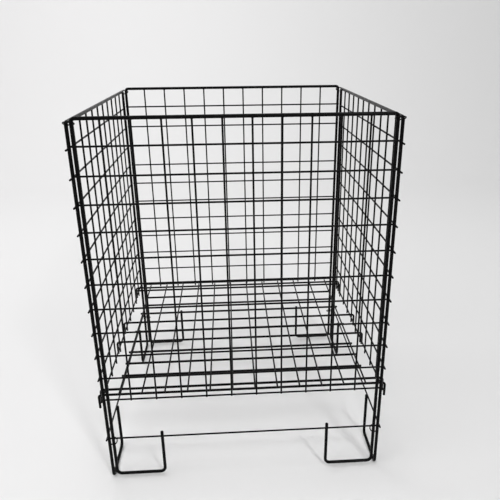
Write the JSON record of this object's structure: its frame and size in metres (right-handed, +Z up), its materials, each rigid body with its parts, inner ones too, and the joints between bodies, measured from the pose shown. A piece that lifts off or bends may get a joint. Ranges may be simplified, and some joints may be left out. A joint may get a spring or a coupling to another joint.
{
  "type": "retail dump bin",
  "caption": "Square open-topped wire mesh bin on looped wire feet, with ring-linked corners and a hooked-in wire base grid.",
  "frame": {"origin": "floor level under the middle of the bin", "axes": "+X to the bin's right as seen from the front, +Y to the back, +Z up"},
  "size_m": [0.5896, 0.5604, 0.7466],
  "materials": {
    "frame_coat": "gloss black powder coat on welded steel wire",
    "mesh_coat": "gloss black powder coat on welded steel wire",
    "base_coat": "gloss black powder coat on welded steel wire",
    "ring_coat": "gloss black powder coat on welded steel wire"
  },
  "bodies": {
    "left_side": {"left_frame": "frame_coat", "left_vertical_wires": "mesh_coat", "left_mesh_rows": "mesh_coat", "left_lower_wire": "mesh_coat", "ring_front_left_top": "ring_coat", "ring_front_left_low": "ring_coat", "ring_back_left_top": "ring_coat", "ring_back_left_low": "ring_coat"},
    "front_panel": {"front_frame": "frame_coat", "front_vertical_wires": "mesh_coat", "front_mesh_rows": "mesh_coat", "front_lower_wire": "mesh_coat"},
    "back_panel": {"back_frame": "frame_coat", "back_vertical_wires": "mesh_coat", "back_mesh_rows": "mesh_coat", "back_lower_wire": "mesh_coat"},
    "right_side": {"right_frame": "frame_coat", "right_vertical_wires": "mesh_coat", "right_mesh_rows": "mesh_coat", "right_lower_wire": "mesh_coat", "ring_front_right_top": "ring_coat", "ring_front_right_low": "ring_coat", "ring_back_right_top": "ring_coat", "ring_back_right_low": "ring_coat"},
    "base_grid": {"base_hook_rod_1": "base_coat", "base_hook_rod_2": "base_coat", "base_hook_rod_3": "base_coat", "base_hook_rod_4": "base_coat", "base_hook_rod_5": "base_coat", "base_hook_rod_6": "base_coat", "base_plain_rod_1": "base_coat", "base_plain_rod_2": "base_coat", "base_plain_rod_3": "base_coat", "base_plain_rod_4": "base_coat", "base_plain_rod_5": "base_coat", "base_plain_rod_6": "base_coat", "base_plain_rod_7": "base_coat", "base_long_wires": "base_coat"}
  },
  "joints": [
    {"name": "front_left_corner", "type": "hinge", "parent": "left_side", "child": "front_panel", "pos_m": [-0.271, -0.271, 0.4], "axis": [0, 0, 1], "range_deg": [-0.85, 0.85]},
    {"name": "back_left_corner", "type": "hinge", "parent": "left_side", "child": "back_panel", "pos_m": [-0.271, 0.271, 0.4], "axis": [0, 0, 1], "range_deg": [-0.85, 0.85]},
    {"name": "front_right_corner", "type": "hinge", "parent": "front_panel", "child": "right_side", "pos_m": [0.271, -0.271, 0.4], "axis": [0, 0, 1], "range_deg": [-0.85, 0.85]},
    {"name": "base_lift", "type": "slide", "parent": "left_side", "child": "base_grid", "axis": [0, 0, 1], "range_m": [0, 0.041]}
  ],
  "couplings": [
    {"joint": "back_left_corner", "follows": "front_left_corner", "ratio": 1},
    {"joint": "front_right_corner", "follows": "front_left_corner", "ratio": -1}
  ]
}
